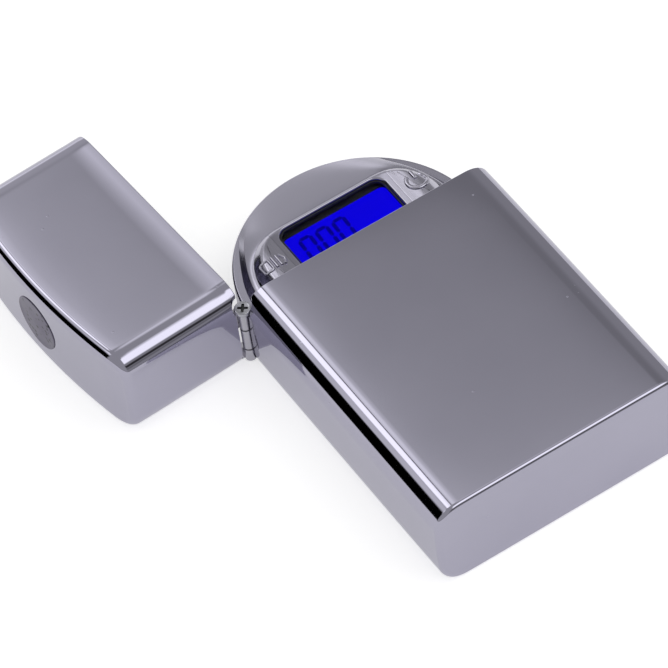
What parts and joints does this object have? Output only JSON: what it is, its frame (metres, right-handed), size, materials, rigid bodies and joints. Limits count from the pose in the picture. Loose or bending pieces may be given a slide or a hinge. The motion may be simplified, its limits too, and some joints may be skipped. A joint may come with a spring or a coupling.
{
  "type": "pocket digital scale",
  "caption": "Pocket digital scale in a chromed flip-top case shaped like a petrol lighter; a scale body with a lit display and a weighing platform slides out of it.",
  "frame": {"origin": "centre of the case's flat back face", "axes": "+Z out of the front face (the side the display faces), +Y out of the case's mouth towards the display head, -X towards the lid hinge"},
  "size_m": [0.0828, 0.1154, 0.0201],
  "materials": {
    "case_chrome": "mirror polished chrome plate on drawn steel",
    "housing_chrome": "chrome plated ABS, slightly satin",
    "button_chrome": "chrome plated ABS with an embossed mark",
    "hinge_steel": "plated steel strip",
    "screw_steel": "plated screw steel",
    "spring_steel": "bare spring steel",
    "platform_steel": "brushed stainless steel",
    "battery_steel": "nickel plated steel can",
    "cell_aluminium": "milled aluminium",
    "label_foil": "matt foil seal",
    "black_rubber": "moulded black rubber",
    "foam_pad": "closed cell foam",
    "clear_lens": "clear acrylic",
    "display_blue": "backlit liquid crystal display, blue",
    "white_plastic": "white diffusing acrylic",
    "board_green": "green lacquered circuit board",
    "black_epoxy": "black epoxy and moulded switch bodies",
    "gauge_film": "amber polyimide film",
    "wire_red": "red PVC insulation",
    "wire_black": "black PVC insulation",
    "wire_white": "white PVC insulation"
  },
  "bodies": {
    "case": {"case_shell": "case_chrome", "case_hinge_leaf": "hinge_steel", "hinge_screw": "screw_steel", "retaining_spring_right": "spring_steel", "retaining_spring_left": "spring_steel", "cushion_pad": "foam_pad"},
    "lid": {"lid_shell": "case_chrome", "lid_hinge_leaf": "hinge_steel", "lid_label": "label_foil"},
    "power_button": {"power_button": "button_chrome"},
    "mode_button": {"mode_button": "button_chrome"},
    "platform": {"weighing_platform": "platform_steel", "platform_bracket": "cell_aluminium", "platform_screw_1": "screw_steel", "platform_screw_2": "screw_steel"},
    "battery_cover": {"battery_cover": "housing_chrome", "cover_contact": "spring_steel"},
    "scale_body": {"lower_housing": "housing_chrome", "upper_housing": "housing_chrome", "display_bezel": "housing_chrome", "display_gasket": "black_rubber", "window_lens": "clear_lens", "lcd_glass": "display_blue", "backlight": "white_plastic", "backlight_led": "white_plastic", "zebra_connector": "black_rubber", "main_board": "board_green", "chip_cover": "black_epoxy", "quartz_crystal": "spring_steel", "power_switch": "black_epoxy", "mode_switch": "black_epoxy", "load_cell": "cell_aluminium", "strain_gauge_top_1": "gauge_film", "strain_gauge_top_2": "gauge_film", "strain_gauge_back_1": "gauge_film", "strain_gauge_back_2": "gauge_film", "cell_screw_1": "screw_steel", "cell_screw_2": "screw_steel", "coin_cell_1": "battery_steel", "coin_cell_2": "battery_steel", "top_contact": "spring_steel", "battery_wire_red": "wire_red", "battery_wire_black": "wire_black", "load_cell_wires": "wire_white", "housing_screw_1": "screw_steel", "foot_pad_1": "black_rubber", "housing_screw_2": "screw_steel", "foot_pad_2": "black_rubber", "housing_screw_3": "screw_steel", "foot_pad_3": "black_rubber", "housing_screw_4": "screw_steel", "foot_pad_4": "black_rubber"}
  },
  "joints": [
    {"name": "lid_hinge", "type": "hinge", "parent": "case", "child": "lid", "pos_m": [-0.02657, 0.03135, 0.01], "axis": [0, 0, 1], "range_deg": [-93, 57]},
    {"name": "scale_body_slide", "type": "slide", "parent": "case", "child": "scale_body", "axis": [0, 1, 0], "range_m": [0, 0.062]},
    {"name": "power_button_press", "type": "slide", "parent": "scale_body", "child": "power_button", "axis": [0, 0, -1], "range_m": [0, 0.0003], "stiffness_N_per_m": 1500},
    {"name": "mode_button_press", "type": "slide", "parent": "scale_body", "child": "mode_button", "axis": [0, 0, -1], "range_m": [0, 0.0003], "stiffness_N_per_m": 1500},
    {"name": "platform_press", "type": "slide", "parent": "scale_body", "child": "platform", "axis": [0, 0, -1], "range_m": [0, 0.0004], "stiffness_N_per_m": 6000},
    {"name": "battery_cover_turn", "type": "hinge", "parent": "scale_body", "child": "battery_cover", "pos_m": [0, -0.0119, 0.002], "axis": [0, 0, 1], "range_deg": [0, 40]}
  ]
}
